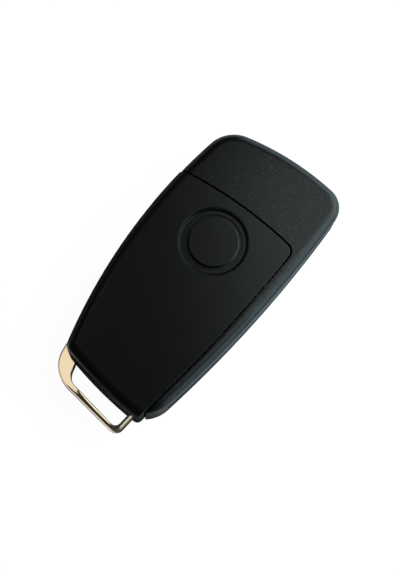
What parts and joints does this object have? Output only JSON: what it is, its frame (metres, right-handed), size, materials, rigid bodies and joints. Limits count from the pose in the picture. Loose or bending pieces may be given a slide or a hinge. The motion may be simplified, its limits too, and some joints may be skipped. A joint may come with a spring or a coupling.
{
  "type": "key fob shell",
  "caption": "Flip-type car key fob shell: L-shaped flip housing, lift-off rear cover with a bare round badge seat, push buttons, swing-out blade and metal key-ring loop.",
  "frame": {"origin": "middle of the overall box on the plane that the fob lies on, button side down", "axes": "+Y from the key-ring loop towards the head with the flip pivot, +Z out of the back that carries the badge seat, +X towards the side that the blade swings out of"},
  "size_m": [0.04, 0.0839, 0.015],
  "materials": {
    "textured_black": "fine-grained soft-touch black",
    "satin_black": "smooth satin black",
    "gloss_black": "gloss black",
    "loop_metal": "bright cast zinc with a warm plating",
    "button_rubber": "matte black",
    "mat_silicone": "translucent grey silicone",
    "inner_plastic": "matte black",
    "screw_steel": "bright steel",
    "hub_metal": "black coated zinc",
    "blade_steel": "nickel-plated, ground along its length",
    "bright_trim": "bright chrome"
  },
  "bodies": {
    "case": {"flip_housing_back": "textured_black", "flip_housing_front": "textured_black", "transmitter_front_case": "satin_black", "key_ring_loop": "loop_metal", "button_trim": "gloss_black", "keypad_mat": "mat_silicone", "board_frame": "inner_plastic", "housing_screw": "screw_steel", "module_screw": "screw_steel", "transponder_lid": "inner_plastic", "release_ring": "bright_trim", "flip_spring": "screw_steel"},
    "rear_cover": {"rear_cover": "satin_black"},
    "blade_unit": {"blade_carrier": "hub_metal", "flip_blade": "blade_steel", "roll_pin": "screw_steel", "release_spring": "screw_steel"},
    "release_button": {"release_button": "bright_trim"},
    "lock_button": {"lock_button": "button_rubber"},
    "unlock_button": {"unlock_button": "button_rubber"},
    "trunk_button": {"trunk_button": "button_rubber"}
  },
  "joints": [
    {"name": "blade_flip", "type": "hinge", "parent": "case", "child": "blade_unit", "pos_m": [0.01095, 0.0316, 0.0075], "axis": [0, 0, 1], "range_deg": [0, 180], "deforming": ["flip_spring"]},
    {"name": "release_press", "type": "slide", "parent": "blade_unit", "child": "release_button", "axis": [0, 0, 1], "range_m": [0, 0.0016], "stiffness_N_per_m": 500, "deforming": ["release_spring"]},
    {"name": "cover_lift", "type": "slide", "parent": "case", "child": "rear_cover", "axis": [0, 0, 1], "range_m": [0, 0.012]},
    {"name": "lock_press", "type": "slide", "parent": "case", "child": "lock_button", "axis": [0, 0, 1], "range_m": [0, 0.0006], "stiffness_N_per_m": 500},
    {"name": "unlock_press", "type": "slide", "parent": "case", "child": "unlock_button", "axis": [0, 0, 1], "range_m": [0, 0.0006], "stiffness_N_per_m": 500},
    {"name": "trunk_press", "type": "slide", "parent": "case", "child": "trunk_button", "axis": [0, 0, 1], "range_m": [0, 0.0006], "stiffness_N_per_m": 500}
  ]
}
